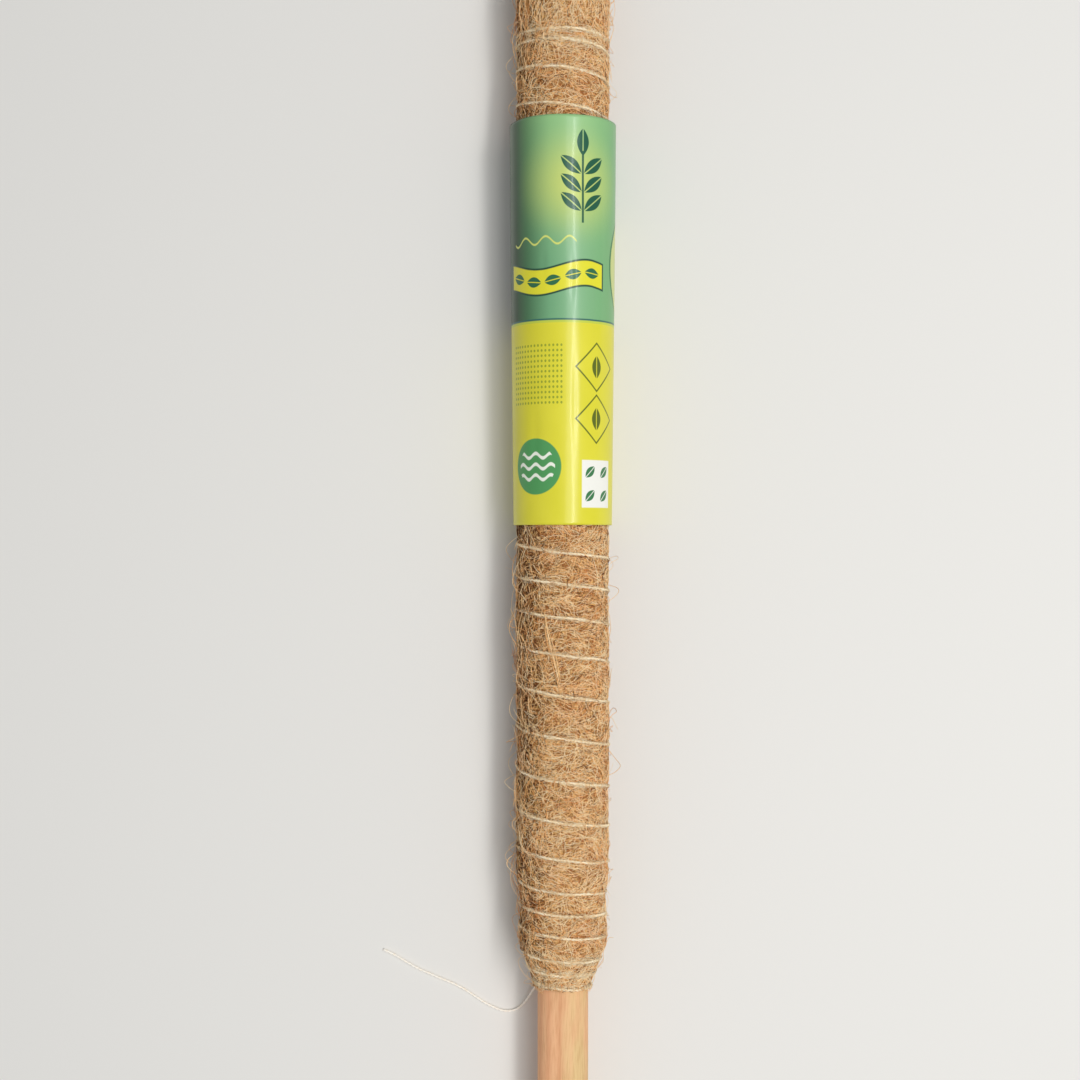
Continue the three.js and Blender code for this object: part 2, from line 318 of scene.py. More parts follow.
ease = np.linspace(0, math.pi / 2, EASE_STEPS)
end_rows = [(STAKE_RADIUS - STAKE_EASE * (1 - math.sin(a)), STAKE_EASE * (1 - math.cos(a))) for a in ease]
plain_y = np.linspace(stake_low.y + PLAIN_FROM, stake_high.y - PLAIN_FROM, STAKE_ROWS)
stake_rows = [(r, stake_low.y + y) for r, y in end_rows]
stake_rows += [(STAKE_RADIUS, y) for y in plain_y]
stake_rows += [(r, stake_high.y - y) for r, y in reversed(end_rows)]
stake_r, stake_y = np.array(stake_rows).T[:, :, None]
stake_angle = 2 * np.pi * np.arange(STAKE_SIDES) / STAKE_SIDES
stake_r = stake_r - TURNED_UNDER + ripples(OUT_OF_ROUND, stake_angle, stake_y)


def wood_material():
    material, tree = new_material("bare_softwood")
    place = node(tree, "TexCoord").outputs["Object"]
    # The heart of the tree ran beside the stick and at a slight slant, so the rings show as long streaks.
    heart = {"Vector": place, "Location": (0.021, 0, 0.006), "Rotation": (0.02, 0, 0.03)}
    slanted = node(tree, "Mapping", heart).outputs["Vector"]
    stretched = node(tree, "Mapping", {"Vector": slanted, "Scale": (1, 0.06, 1)}).outputs["Vector"]
    sway = node(tree, "TexNoise", {"Vector": stretched, "Scale": 60, "Detail": 2}).outputs["Color"]
    bent = vector(tree, "ADD", slanted, vector(tree, "MULTIPLY", sway, (0.006, 0, 0.006)))
    rings = node(
        tree, "TexWave", {"Vector": bent, "Scale": 60, "Distortion": 0.9, "Detail": 2},
        wave_type="RINGS", rings_direction="Y", wave_profile="SIN",
    ).outputs["Fac"]
    fibre = noise(tree, stretched, 1500, 4, Roughness=0.6)
    blotched = node(tree, "Mapping", {"Vector": slanted, "Scale": (1, 0.22, 1)}).outputs["Vector"]
    # Left side paler and pinker, right side yellower: partly the wood's own colour, partly painted light on
    # the left side, which lies away from the lamps.
    side = node(tree, "SeparateXYZ", {"Vector": place}).outputs["X"]
    side_tint_and_light = ranged(tree, side, -STAKE_RADIUS, STAKE_RADIUS, -0.13, 0.13)
    band = calc(tree, "ADD", noise(tree, blotched, 75, 4), side_tint_and_light)
    base = ramp(tree, band, (0.32, "#f8b98c"), (0.5, "#e8b285"), (0.66, "#dfbf87"))
    streak = ramp(tree, rings, (0.0, "#e9c896"), (0.6, "#ddb082"), (1.0, "#ca9164"))
    hairs = ramp(tree, fibre, (0.3, "#c39a70"), (0.55, "#ffffff"))
    grained = blend(tree, 0.34, blend(tree, 0.25, base, streak), hairs, blend_type="MULTIPLY")
    rough = ranged(tree, fibre, 0.0, 1.0, 0.6, 0.85)
    normal = relief(tree, fibre, 0.25, FINE_RELIEF)
    looks = {"Base Color": grained, "Roughness": rough, "Specular IOR Level": 0.25, "Normal": normal}
    return shaded(material, looks)


stake = tube_object("turned_stake", around(stake_r, stake_angle, stake_y)[None], wood_material())
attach(stake, "pole")
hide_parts("wooden_stake")

# Coir padding: an inner wrap of loose coconut fibre that fills the mat out to its girth. It is held only by
# the mat round it, and shows as a ring of cut fibre at the top end.
COIR_SIDES = 144
PADDING_ROWS, PADDING_BORE_ROWS, COIR_END_ROWS = 60, 12, 8
STAKE_GAP = 0.0002  # between the stake and the coir on it
RAGGED = [(0.0005, 7, 900, 0), (0.0004, 17, -1700, 0)]  # height, rates round the pole and outwards, phase
RAGGED_FROM = 0.2  # only the top end is ragged
FIBRE_STRETCHES = [(1, 0.45, 1), (0.5, 1, 0.5), (0.9, 0.8, 0.9)]
LINE_WIDTH = 0.035
LEFT_SHADE_FULL_X, LEFT_SHADE_END_X = -0.018, -0.005  # where painted shade on the mat's loose left side is full, and where it ends
padding_low, padding_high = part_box("coir_padding")
padding_bore = STAKE_RADIUS + STAKE_GAP
padding_radius = (padding_high.x - padding_low.x) / 2
coir_angle = 2 * np.pi * np.arange(COIR_SIDES) / COIR_SIDES


def new_group(name, output, **inputs):
    """A node group with its sockets, and the node that gives its inputs."""
    group = bpy.data.node_groups.new(name, "ShaderNodeTree")
    for socket, kind in inputs.items():
        group.interface.new_socket(socket, in_out="INPUT", socket_type="NodeSocket" + kind)
    group.interface.new_socket(output, in_out="OUTPUT", socket_type="NodeSocketFloat")
    return group, group.nodes.new("NodeGroupInput")


def curled_fibres():
    """Node group: the fine curly lines of matted fibre, as a mask of how much of a fibre shows."""
    group, source = new_group("curled_fibres", "Fibre", Vector="Vector", Scale="Float")
    shown = None
    for layer, stretch in enumerate(FIBRE_STRETCHES):
        turned = {"Vector": source.outputs["Vector"], "Location": (layer, 0, 0), "Scale": stretch}
        place = node(group, "Mapping", turned).outputs["Vector"]
        cloud = noise(group, place, source.outputs["Scale"], 1.5, Distortion=0.8)
        ridge = calc(group, "ABSOLUTE", calc(group, "SUBTRACT", cloud, 0.5))
        line = ranged(group, ridge, 0.0, LINE_WIDTH, 1.0, 0.0)
        shown = line if shown is None else calc(group, "MAXIMUM", shown, line)
    group.links.new(shown, group.nodes.new("NodeGroupOutput").inputs["Fibre"])
    return group


fibre_group = curled_fibres()


def matted_material(name, gap, left_shade_gap, fibre, scale):
    """Matted coir seen between the strands on top of it: fine curly fibre over dark gaps, which are partly
    painted shade between the fibres, and darker on its loose left side, which is painted shade."""
    material, tree = new_material(name)
    place = node(tree, "TexCoord").outputs["Object"]
    matted = node(tree, "Group", {"Vector": place, "Scale": scale}, node_tree=fibre_group).outputs["Fibre"]
    lit = calc(tree, "MULTIPLY", matted, noise(tree, place, 500, 3))
    side = node(tree, "SeparateXYZ", {"Vector": place}).outputs["X"]
    loose_and_shaded = ranged(tree, side, LEFT_SHADE_FULL_X, LEFT_SHADE_END_X, 1.0, 0.0)
    shades = [ramp(tree, lit, (0.0, deep), (0.42, fibre)) for deep in (gap, left_shade_gap)]
    colour = blend(tree, loose_and_shaded, *shades)
    normal = relief(tree, matted, 0.9, 0.0006)
    looks = {"Base Color": colour, "Roughness": 0.95, "Specular IOR Level": 0.1, "Normal": normal}
    return shaded(material, looks)


padding_rows = [(padding_radius, y) for y in np.linspace(padding_low.y, padding_high.y, PADDING_ROWS)]
padding_rows += [(r, padding_high.y) for r in np.linspace(padding_radius, padding_bore, COIR_END_ROWS)[1:]]
bore_y = np.linspace(padding_high.y, padding_low.y, PADDING_BORE_ROWS)
padding_rows += [(padding_bore, y) for y in bore_y[1:]]
padding_r, padding_y = np.array(padding_rows).T[:, :, None]
ragged = ripples(RAGGED, coir_angle, padding_r) * (padding_y > RAGGED_FROM)
padding_place = around(padding_r, coir_angle, padding_y + ragged)
# Its dark gap colour is partly painted shade between the fibres.
padding_material = matted_material("loose_coir", "#4a2e18", "#4a2e18", "#a5764a", 260)
padding = tube_object("padding_coir", padding_place[None], padding_material, closed=True)
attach(padding, "pole")
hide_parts("coir_padding")

# Coir mat: a mat of curly coconut fibre wrapped round the padding and gathered onto the stake at its lower
# end. The twine bites into it, so it swells a little between the turns.
MAT_ROWS, MAT_BORE_ROWS = 430, 120
MAT_SWELL = 0.0005
TWINE_BITE = 0.0030  # how far along the pole the mat dips towards a turn of twine
NECK_SLANT = 0.0024  # how much higher the mat's lower edge is on the top line than under the pole
PADDING_GAP = 0.0003
LUMPS = [  # height, rates round the pole and along it, phase
    (0.00018, 3, 61, 0.4), (0.00014, 5, -143, 2.1), (0.00012, 8, 260, 0), (0.00010, 13, -410, 1.2),
]
END_LUMPS = [(0.0006, 9, 800, 0)]  # height, rates round the pole and outwards, phase
TOP_TURNS, LASHING_TURNS, SHOULDER_TURNS, NECK_TURNS = 2, 23, 2, 3
WANDER, WANDER_FROM, WANDER_TURNS = 0.0045, 13, 10  # how far the lashing strays, from a turn, in turns
mat_low, mat_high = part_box("coir_mat")
mat_radius = (mat_high.x - mat_low.x) / 2
mat_bore = padding_radius + PADDING_GAP
GATHER = [  # radius and height above the mat's lower edge, from the neck up to the full girth
    (STAKE_RADIUS + 0.0008, 0.0), (STAKE_RADIUS + 0.0010, 0.0040), (0.0195, 0.0205),
    (0.0200, 0.0240), (0.0196, 0.0440), (mat_radius, 0.0570),
]
GATHER_BORE = [(STAKE_RADIUS + STAKE_GAP, 0.006), (mat_bore, 0.0237)]
gather_r, gather_rise = np.array(GATHER).T
# Where the twine crosses the top line: at the top, down the lashing, on the shoulder and on the neck
strayed = np.maximum(0, np.arange(LASHING_TURNS) - WANDER_FROM)
wander = WANDER * np.sin(2 * np.pi * strayed / WANDER_TURNS)
helix = np.linspace(mat_high.y - 0.0582, mat_low.y + 0.0518, LASHING_TURNS) + wander
top_tie = mat_high.y - 0.0404 - 0.0047 * np.arange(TOP_TURNS)
shoulder = mat_low.y + 0.0389 - 0.0102 * np.arange(SHOULDER_TURNS)
neck = mat_low.y + 0.0170 - 0.0069 * np.arange(NECK_TURNS)
levels = np.concatenate([top_tie, helix, shoulder, neck])
turn_count = np.arange(-1, len(levels) + 1)
turn_levels = np.concatenate([[2 * levels[0] - levels[1]], levels, [2 * levels[-1] - levels[-2]]])


def from_twine(angle, y):
    """The distance along the pole from the nearest turn of twine."""
    part = (np.asarray(angle) % (2 * np.pi) / (2 * np.pi))[..., None]
    return np.abs(np.interp(turn_count + part, turn_count, turn_levels) - np.asarray(y)[..., None]).min(-1)


def mat_girth(y):
    return np.interp(y - mat_low.y, gather_rise, gather_r)


def mat_surface(angle, y):
    """The radius of the lumpy mat, pulled in under the twine."""
    angle, y = np.broadcast_arrays(angle, y)
    swell = MAT_SWELL * (1 - np.exp(-((from_twine(angle, y) / TWINE_BITE) ** 2)))
    return mat_girth(y) + swell + ripples(LUMPS, angle, y)


def mat_foot(angle):
    """The lower edge of the mat, which follows the last turn of twine."""
    return mat_low.y + NECK_SLANT * (1 + np.cos(angle)) / 2


def mat_level(share):
    """Levels at a share of the way from the mat's lower edge to its top, for each angle."""
    foot = mat_foot(coir_angle)
    return foot + (mat_high.y - foot) * share[:, None]


mat_y = mat_level(np.linspace(0, 1, MAT_ROWS))
mat_outer = around(mat_surface(coir_angle, mat_y), coir_angle, mat_y)
end_share = np.linspace(0, 1, COIR_END_ROWS)[1:, None]
end_edge = mat_surface(coir_angle, mat_high.y)[None]
end_r = end_edge * (1 - end_share) + mat_bore * end_share
end_y = mat_high.y + ripples(END_LUMPS, coir_angle, end_r) * np.sin(3.1 * end_share)
mat_end = around(end_r, coir_angle, end_y)
bore_y = mat_level(np.linspace(1, 0, MAT_BORE_ROWS)[1:])
bore_radii, bore_rise = np.array(GATHER_BORE).T
mat_inner = around(np.interp(bore_y - mat_low.y, bore_rise, bore_radii), coir_angle, bore_y)
# Gap colours: partly painted shade between the fibres; the near-black one is painted shade on the loose
# left side.
mat_material = matted_material("matted_coir", "#a4683a", "#241206", "#f0bf79", 420)
mat = tube_object("mat_coir", np.vstack([mat_outer, mat_end, mat_inner])[None], mat_material, closed=True)
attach(mat, "pole")
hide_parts("coir_mat")

# Coir fibre: the curly strands that make up the face of the mat. Most lie in it, some cross over the twine.
# Along the mat's left side and at its top end they run lengthwise, elsewhere they curl and go round it.
FIBRE_RADIUS = 0.00014
FIBRE_SIDES = 3
# In a layer: fibres, radius, points along one, shortest, longest, curl, lowest and highest in the face
SHORT_FIBRES = (6000, FIBRE_RADIUS, 6, 0.004, 0.012, 1.5, -0.0002, 0.0003)
LONG_FIBRES = (2200, 0.00015, 10, 0.012, 0.028, 1.4, 0.0001, 0.0004)
FIBRE_LAYERS = [SHORT_FIBRES] * 9 + [LONG_FIBRES]
EVEN_STEPS = (0.7548776662, 0.5698402910)  # shares of a square's sides that spread points evenly over it
LOOSE_SHADED_FACING, LOOSE_SHADED_REACH = -1.2, 0.75  # the angle of the loose left side, which also takes painted shade, and how far round it reaches
TOP_FROM, TOP_FADE = 0.255, 0.02
LENGTHWISE, LOOSE_LENGTHWISE, TOP_LENGTHWISE, MOST_LENGTHWISE = 0.12, 0.6, 0.7, 0.95  # shares of the fibres
SWIRLS = [(0.35, 230, 150, 0), (0.35, -120, 310, 1.7), (0.25, 420, -390, 0.6)]  # turn, rates, phase
CROSSWISE_SCATTER, LENGTHWISE_SCATTER, LENGTHWISE_CURL = 0.3, 0.4, 0.6
FOOT_MARGIN, TOP_MARGIN = 0.0003, 0.0005
TIP_DIP = 0.0004  # the tips go down into the mat
FIBRE_WAVE = 0.00012
CROSSING, LOOSE_CROSSING = 0.1, 0.4  # shares that cross over the twine, and more on the loose side
CROSSING_REACH = 0.0012
# Painted light: the fibres' tones are lighter towards the mat's foot and its top end, and less so on its
# right, which is painted shade there.
PAINTED_LIGHT_LEVELS, PAINTED_LIGHT_SHARES = [-0.105, -0.060, 0.190, 0.230], [1.0, 0.0, 0.0, 0.5]
RIGHT_PAINTED_SHADE = 0.8  # how much of the painted light is lost on the right: painted shade
# Painted shade on the loose left side: its fibres are darker, and their tones spread wider for lit strands
# and shade between them.
MID_TONE, LEFT_PAINTED_SHADE, PAINTED_LIGHT_GAIN = 0.62, 0.46, 0.16
TONE_SPREAD, LEFT_LIT_AND_SHADED_SPREAD, PAINTED_LIGHT_EVEN = 0.42, 0.5, 0.3
DEPTH_SHADE_RISE, DEPTH_SHADE_FROM = 500, 0.0001  # painted shade: tone gained per metre outwards, from this depth, so deeper fibres are darker
TWINE_SEAT = 0.00055  # the twine's middle, out from the mat's girth: it lies half sunk in the fibre
SLEEVE_BORE = 0.0229
sleeve_low, sleeve_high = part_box("label_sleeve")
rng = np.random.default_rng(7)


def looseness_and_shade(angle):
    """1 along the loose left side of the mat, falling to 0 away from it. There the fibres run lengthwise
    and cross the twine more, and their tones take painted shade.
    """
    return np.exp(-(((angle - LOOSE_SHADED_FACING) / LOOSE_SHADED_REACH) ** 2))


def painted_light(angle, y):
    """Painted light on the fibres: 1 towards the mat's gathered foot, half that towards its top end, 0
    between, less on its right, which is painted shade.
    """
    return np.interp(y, PAINTED_LIGHT_LEVELS, PAINTED_LIGHT_SHARES) * (1 - RIGHT_PAINTED_SHADE * np.clip(np.sin(angle), 0, 1))


def fibre_lines(count, points, shortest, longest, curl, facing=0.0, half_span=np.pi):
    """The run of each fibre over the face of the mat, as its angles and its heights along the pole. Their
    middles are spread evenly over it."""
    share = (rng.random((2, 1)) + np.outer(EVEN_STEPS, np.arange(count))) % 1
    angle, y = facing + half_span * (2 * share[0] - 1), mat_low.y + (mat_high.y - mat_low.y) * share[1]
    top_end = np.clip((y - TOP_FROM) / TOP_FADE, 0, 1)
    odds = LENGTHWISE + LOOSE_LENGTHWISE * looseness_and_shade(angle) + TOP_LENGTHWISE * top_end
    lengthwise = rng.random(count) < np.clip(odds, 0, MOST_LENGTHWISE)
    crosswise = ripples(SWIRLS, mat_radius * angle, y) + rng.normal(0, CROSSWISE_SCATTER, count)
    heading = np.where(lengthwise, np.pi / 2 + rng.normal(0, LENGTHWISE_SCATTER, count), crosswise)
    t = np.linspace(-0.5, 0.5, points)
    bend = rng.normal(0, curl, count)[:, None] * np.where(lengthwise, LENGTHWISE_CURL, 1.0)[:, None] * t
    waves, phase = rng.uniform(0.8, 2.2, (count, 1)), rng.uniform(0, 2 * np.pi, (count, 1))
    wiggle = rng.uniform(0.1, 0.6, (count, 1)) * np.sin(2 * np.pi * waves * t + phase)
    course = heading[:, None] + bend + wiggle
    step = rng.uniform(shortest, longest, (count, 1)) / (points - 1)
    sideways = np.cumsum(np.cos(course), axis=1) * step
    onward = np.cumsum(np.sin(course), axis=1) * step
    middle = points // 2
    run_angle = angle[:, None] + (sideways - sideways[:, middle : middle + 1]) / mat_radius
    run_y = y[:, None] + onward - onward[:, middle : middle + 1]
    return run_angle, np.clip(run_y, mat_foot(run_angle) + FOOT_MARGIN, mat_high.y - TOP_MARGIN)


def fibre_rings(paths, radius):
    """Rings of points round each fibre, which is thinner at both tips."""
    count, points, _ = paths.shape
    t = np.linspace(-1, 1, points)
    thick = radius * rng.uniform(0.65, 1.25, (count, 1)) * (1 - 0.65 * t**6)
    return strand_rings(paths, thick, FIBRE_SIDES)


def tones(middle, spread, count):
    """A tone for each fibre, from 0 for the darkest to 1."""
    return np.clip(rng.normal(middle, spread, count), 0, 1)


def sprung(shape, size, limit, count):
    """A length for each fibre: mostly short ones, and a few that reach the limit."""
    return rng.gamma(shape, size, (count, 1)).clip(0, limit)


fibre_material = strand_material(
    "coir_fibre", (0.0, "#643819"), (0.3, "#eaa25b"), (0.55, "#ffce8b"), (1.0, "#ffe7bb"),
    roughness=0.5, bump=0.3, gloss=0.35, mottled=0.15, blush=0.25,
)
for number, layer in enumerate(FIBRE_LAYERS, 1):
    count, radius, points, shortest, longest, curl, lowest, highest = layer
    run_angle, run_y = fibre_lines(count, points, shortest, longest, curl)
    middle_angle, middle_y = run_angle[:, points // 2], run_y[:, points // 2]
    # Shares of painted shade on the loose left side, and of painted light towards the foot and the top end.
    loose_and_shaded, painted_lit = looseness_and_shade(middle_angle), painted_light(middle_angle, middle_y)
    t = np.linspace(-1, 1, points)
    depth = rng.uniform(lowest, highest, (count, 1))
    wave = FIBRE_WAVE * np.sin(rng.uniform(2, 6, (count, 1)) * t + 9 * run_angle[:, :1])
    lift = depth - TIP_DIP * t**6 + wave
    crosses = rng.random((count, 1)) < CROSSING + LOOSE_CROSSING * loose_and_shaded[:, None]
    crossing = crosses * (TWINE_SEAT + TWINE_DIAMETER / 2 - lift)
    lift = lift + crossing * np.exp(-((from_twine(run_angle, run_y) / CROSSING_REACH) ** 2))
    fibre_r = np.minimum(mat_surface(run_angle, run_y) + lift, SLEEVE_BORE)
    rings = fibre_rings(around(fibre_r, run_angle, run_y), radius)
    # Painted shade makes the loose left side darker and more uneven; painted light makes the foot and the
    # top end lighter.
    fibre_tone = rng.normal(0, TONE_SPREAD, count) * (1 + LEFT_LIT_AND_SHADED_SPREAD * loose_and_shaded - PAINTED_LIGHT_EVEN * painted_lit)
    fibre_tone = fibre_tone + MID_TONE - LEFT_PAINTED_SHADE * loose_and_shaded + PAINTED_LIGHT_GAIN * painted_lit
    # Painted shade: fibres deeper in the mat are darker.
    fibre_tone = np.clip(fibre_tone + DEPTH_SHADE_RISE * (depth[:, 0] - DEPTH_SHADE_FROM), 0, 1)
    fibres = tube_object(f"coir_fibres_{number}", rings, fibre_material, fibre_tone)
    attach(fibres, "pole")

# Lap strands: a few long reddish fibres that run down the front of the mat below the sleeve. They are coir
# like the rest, combed out of the mat's lapped edge, and lie loose over the twine.
LAP_STRANDS = 7
LAP_POINTS = 60
LAP_RADIUS = 0.00022
LAP_RUN = [(-24, -0.012), (-20, -0.020), (-14, -0.029), (-8, -0.037), (-4, -0.045)]  # degrees, and level
LAP_LIFT, LAP_TIP_DIP = 0.0006, 0.0008
LAP_CROSSING_REACH = 0.0020
lap_each = (LAP_STRANDS, 1)
lap_share = np.linspace(0, 1, LAP_POINTS)
lap_turn, lap_level = (np.interp(4 * lap_share, range(5), values) for values in np.array(LAP_RUN).T)
lap_sway = rng.uniform(0.010, 0.020, lap_each) * np.sin(
    rng.uniform(3, 7, lap_each) * lap_share + rng.uniform(0, 6, lap_each)
)
lap_angle = np.radians(lap_turn) + lap_sway + rng.normal(0, 0.012, lap_each)
lap_y = lap_level + rng.normal(0, 0.003, lap_each)
near_twine = np.exp(-((from_twine(lap_angle, lap_y) / LAP_CROSSING_REACH) ** 2))
lap_lift = np.maximum(LAP_LIFT, (TWINE_SEAT + TWINE_DIAMETER / 2) * near_twine)
lap_lift = lap_lift - LAP_TIP_DIP * (2 * lap_share - 1) ** 12
lap_paths = around(mat_surface(lap_angle, lap_y) + lap_lift, lap_angle, lap_y)
lap_rings = fibre_rings(lap_paths, LAP_RADIUS)
lap_strands = tube_object("lap_strands", lap_rings, fibre_material, tones(0.6, 0.12, LAP_STRANDS))
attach(lap_strands, "pole")

# Stray fibre: strands that have sprung out of the mat in loops and loose ends, most of them on its left and
# at its top end. The sleeve presses them flat as it slides over them, so they are split into bunches round
# the pole, each with its own mesh.
EVEN_STRAYS = 1150
LEFT_STRAYS = 550
STRAYS = LEFT_STRAYS + EVEN_STRAYS
TOP_STRAYS = 220
STRAY_POINTS = 14
STRAY_RADIUS = 0.00012
STRAY_BUNCHES = 8
LOOPED_SHARE = 0.6
STRAY_ROOT = 0.0002  # how deep in the mat a stray starts
SLEEVE_CLEAR = 0.004  # no stray stands up this near the sleeve
FLOOR_CLEAR = 0.0003
LEFT_FACING, LEFT_HALF_SPAN = -1.4, 0.6
even_lines = fibre_lines(EVEN_STRAYS, STRAY_POINTS, shortest=0.010, longest=0.030, curl=2.0)
left_lines = fibre_lines(LEFT_STRAYS, STRAY_POINTS, 0.012, 0.035, 1.4, LEFT_FACING, LEFT_HALF_SPAN)
stray_angle, stray_y = (np.vstack(pair) for pair in zip(left_lines, even_lines))
top_level = rng.uniform(sleeve_high.y + 2 * SLEEVE_CLEAR, mat_high.y, (TOP_STRAYS, 1))
stray_y[-TOP_STRAYS:] += top_level - stray_y[-TOP_STRAYS:].max(1, keepdims=True)
t = np.linspace(0, 1, STRAY_POINTS)
looped = rng.random((STRAYS, 1)) < LOOPED_SHARE
spring = np.where(looped, np.sin(np.pi * t) ** 1.5, t**2)
spring = spring * sprung(shape=1.6, size=0.0013, limit=0.006, count=STRAYS) - STRAY_ROOT
covered = (stray_y > sleeve_low.y - SLEEVE_CLEAR) & (stray_y < sleeve_high.y + SLEEVE_CLEAR)
uncovered = ~covered.any(1)
stray_paths = around(mat_surface(stray_angle, stray_y) + spring, stray_angle, stray_y)
stray_paths[..., 2] = np.maximum(stray_paths[..., 2], FLOOR_CLEAR)
stray_rings = fibre_rings(stray_paths, STRAY_RADIUS)
stray_tone = tones(0.7, 0.2, STRAYS)
middle_angle = stray_angle[:, STRAY_POINTS // 2]
bunch_of = np.round(middle_angle / (2 * np.pi) * STRAY_BUNCHES).astype(int) % STRAY_BUNCHES
for bunch in range(STRAY_BUNCHES):
    chosen = uncovered & (bunch_of == bunch)
    stray_name = f"stray_fibres_{bunch + 1}"
    strays = tube_object(stray_name, stray_rings[chosen], fibre_material, stray_tone[chosen])
    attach(strays, "pole")
    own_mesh(strays)

# Cut fibre: the ends of the fibre stand out of the mat's and the padding's cut top, and lie as a fringe on
# the stake below the neck.
CUT_ENDS = 2600
CUT_POINTS = 5
CUT_ROOT = 0.002  # how deep in the mat's end a cut fibre starts
cut_r = np.sqrt(rng.uniform((STAKE_RADIUS + 0.0006) ** 2, (mat_radius + 0.0004) ** 2, CUT_ENDS))
cut_angle = rng.uniform(-np.pi, np.pi, CUT_ENDS)
cut_lean = rng.normal(0, 0.0011, (CUT_ENDS, 2, 1))
t = np.linspace(0, 1, CUT_POINTS)
cut_out = -CUT_ROOT + (CUT_ROOT + sprung(1.5, 0.0009, 0.008, CUT_ENDS)) * t
cut_bend = cut_lean * t**2
cut_r = np.maximum(cut_r[:, None] + cut_bend[:, 0], STAKE_RADIUS + 0.0004)
cut_paths = around(cut_r, cut_angle[:, None] + cut_bend[:, 1] / mat_radius, mat_high.y + cut_out)
cut_paths[..., 2] = np.maximum(cut_paths[..., 2], FLOOR_CLEAR)
cut_rings = fibre_rings(cut_paths, FIBRE_RADIUS)
cut_ends = tube_object("cut_fibre_ends", cut_rings, fibre_material, tones(0.45, 0.22, CUT_ENDS))
FRINGE = 90
FRINGE_POINTS = 7
FRINGE_ROOT = 0.0012  # how far above the mat's lower edge the fringe starts
FRINGE_LIFT = 0.0003
t = np.linspace(0, 1, FRINGE_POINTS)
fringe_angle = rng.uniform(-np.pi, np.pi, (FRINGE, 1)) + rng.normal(0, 0.25, (FRINGE, 1)) * t
fringe_length = FRINGE_ROOT + sprung(1.5, 0.0006, 0.004, FRINGE)
fringe_y = mat_foot(fringe_angle) + FRINGE_ROOT - fringe_length * t
fringe_r = np.where(fringe_y > mat_low.y, mat_girth(fringe_y), STAKE_RADIUS + FRINGE_LIFT)
fringe_r = fringe_r + FRINGE_LIFT + sprung(1.2, 0.0003, 0.0015, FRINGE) * t
fringe_rings = fibre_rings(around(fringe_r, fringe_angle, fringe_y), FIBRE_RADIUS)
fringe = tube_object("neck_fringe", fringe_rings, fibre_material, tones(0.45, 0.2, FRINGE))
for cut in (cut_ends, fringe):
    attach(cut, "pole")

# Twine windings: one length of two-ply twine, wound on by hand in three stretches. It starts under two
# turns at the top, goes down the mat in an open helix and binds the gathered lower end onto the stake.
WINDINGS = [  # piece, the node that it replaces, its first turn and its turns
    ("top_tie_twine", "twine_top_tie", 0, TOP_TURNS),
    ("lashing_twine", "twine_lashing", TOP_TURNS, LASHING_TURNS),
    ("foot_tie_twine", "twine_foot_tie", TOP_TURNS + LASHING_TURNS, SHOULDER_TURNS + NECK_TURNS),
]
WINDING_TONES = (0.8, 0.95)


def winding_route(first_turn, turns):
    """From the bottom of one turn to the bottom of a later one."""
    steps = round(turns * 2 * np.pi * mat_radius / TWINE_STEP)
    turn = np.linspace(first_turn - 0.5, first_turn + turns - 0.5, steps)
    y = np.interp(turn, turn_count, turn_levels)
    r = mat_girth(y) + TWINE_SEAT + 0.0001 * np.sin(23 * turn) + 0.00008 * np.sin(51 * turn)
    return around(r, 2 * np.pi * turn, y + 0.00018 * np.sin(17 * turn + 1) + 0.0001 * np.sin(41 * turn))


for piece_name, node_name, first_turn, turns in WINDINGS:
    wound = twine_object(piece_name, [winding_route(first_turn, turns)], twine_material, WINDING_TONES)
    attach(wound, "pole")
    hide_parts(node_name)

# Twine fuzz: pale fibres that have worked loose from the plies and lie along the twine on both sides of it,
# thickest at the top tie and at the neck.
FUZZ_POINTS = 5
FUZZ_RADIUS = 0.0001
FUZZ_SWAY = 0.0003
FUZZ_HALF_LENGTHS = (0.0015, 0.006)
last_turn = len(levels) - 0.5
FUZZ_STRETCHES = [  # first and last turn of twine, fibres, and how far they lie to either side of it
    (-0.5, last_turn, 7600, 0.00050), (last_turn - 2.5, last_turn, 1400, 0.0011), (-0.5, 1.5, 700, 0.0010),
]
t = np.linspace(-1, 1, FUZZ_POINTS)
for number, (first, last, count, spread) in enumerate(FUZZ_STRETCHES, 1):
    half_length = rng.uniform(*FUZZ_HALF_LENGTHS, (count, 1))
    fuzz_turn = rng.uniform(first, last, (count, 1)) + half_length * t / (2 * np.pi * mat_radius)
    fuzz_level = np.interp(fuzz_turn, turn_count, turn_levels)
    fuzz_sway = FUZZ_SWAY * np.sin(rng.uniform(1, 4, (count, 1)) * t + 40 * fuzz_turn[:, :1])
    fuzz_side = rng.normal(0, spread, (count, 1)) + fuzz_sway
    fuzz_y = fuzz_level + fuzz_side + rng.normal(0, 0.1, (count, 1)) * half_length * t
    fuzz_y = np.maximum(fuzz_y, mat_foot(2 * np.pi * fuzz_turn))
    fuzz_rise = np.sqrt(np.maximum(0, (TWINE_DIAMETER / 2) ** 2 - fuzz_side**2)) - FUZZ_RADIUS
    fuzz_loft = sprung(1.5, 0.00012, 0.0008, count) * t**2
    fuzz_r = np.minimum(mat_girth(fuzz_y) + TWINE_SEAT + fuzz_rise + fuzz_loft, SLEEVE_BORE)
    fuzz_rings = fibre_rings(around(fuzz_r, 2 * np.pi * fuzz_turn, fuzz_y), FUZZ_RADIUS)
    fuzz = tube_object(f"twine_fuzz_{number}", fuzz_rings, twine_material, tones(0.7, 0.15, count))
    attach(fuzz, "pole")

